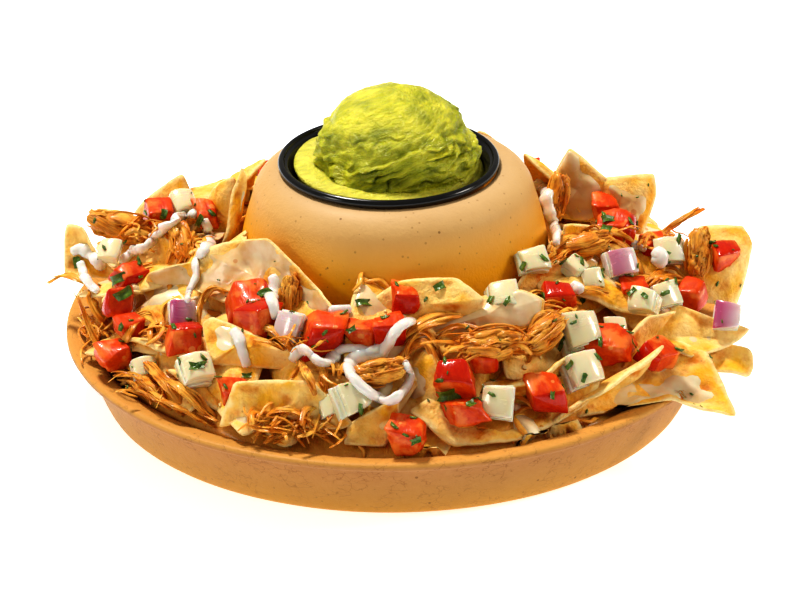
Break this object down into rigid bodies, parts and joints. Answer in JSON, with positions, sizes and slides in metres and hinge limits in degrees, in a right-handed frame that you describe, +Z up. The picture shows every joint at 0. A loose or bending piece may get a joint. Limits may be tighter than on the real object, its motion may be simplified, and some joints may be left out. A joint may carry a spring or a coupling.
{
  "type": "loaded nachos on a pedestal platter",
  "caption": "Ring-shaped platter heaped with tortilla chips, pulled chicken, diced tomato, onion and cream round a raised pedestal that holds a dip cup of guacamole.",
  "frame": {"origin": "on the table, under the middle of the platter", "axes": "+Z up, -Y towards the front of the dish, +X to its right"},
  "size_m": [0.2987, 0.28, 0.136],
  "materials": {
    "platter": "satin, speckled moulded fibre",
    "cup": "glossy black",
    "guacamole": "moist, smeared",
    "chips": "fried, slightly oily",
    "tomato": "wet, cut",
    "white_onion": "wet, translucent",
    "red_onion": "wet, translucent",
    "chicken": "sauced, fibrous",
    "cream": "poured, smooth",
    "cheese_sauce": "poured, smooth",
    "herbs": "fresh leaf"
  },
  "bodies": {
    "root": {"platter": "platter", "cup": "cup", "guacamole": "guacamole", "tomato_01": "tomato", "tomato_02": "tomato", "tomato_03": "tomato", "tomato_04": "tomato", "tomato_05": "tomato", "tomato_06": "tomato", "tomato_07": "tomato", "tomato_08": "tomato", "tomato_09": "tomato", "tomato_10": "tomato", "tomato_11": "tomato", "tomato_12": "tomato", "tomato_13": "tomato", "tomato_14": "tomato", "tomato_15": "tomato", "tomato_16": "tomato", "tomato_17": "tomato", "tomato_18": "tomato", "tomato_19": "tomato", "tomato_20": "tomato", "tomato_21": "tomato", "tomato_22": "tomato", "tomato_23": "tomato", "tomato_24": "tomato", "tomato_25": "tomato", "white_onion_01": "white_onion", "white_onion_02": "white_onion", "white_onion_03": "white_onion", "white_onion_04": "white_onion", "white_onion_05": "white_onion", "white_onion_06": "white_onion", "white_onion_07": "white_onion", "white_onion_08": "white_onion", "white_onion_09": "white_onion", "white_onion_10": "white_onion", "white_onion_11": "white_onion", "white_onion_12": "white_onion", "white_onion_13": "white_onion", "white_onion_14": "white_onion", "red_onion_01": "red_onion", "red_onion_02": "red_onion", "red_onion_03": "red_onion", "red_onion_04": "red_onion", "red_onion_05": "red_onion", "chicken_01": "chicken", "chicken_02": "chicken", "chicken_03": "chicken", "chicken_04": "chicken", "chicken_05": "chicken", "chicken_06": "chicken", "chicken_07": "chicken", "chicken_08": "chicken", "chicken_09": "chicken", "chicken_10": "chicken", "chicken_11": "chicken", "chicken_12": "chicken", "nacho_heap": "chips"}
  },
  "joints": []
}
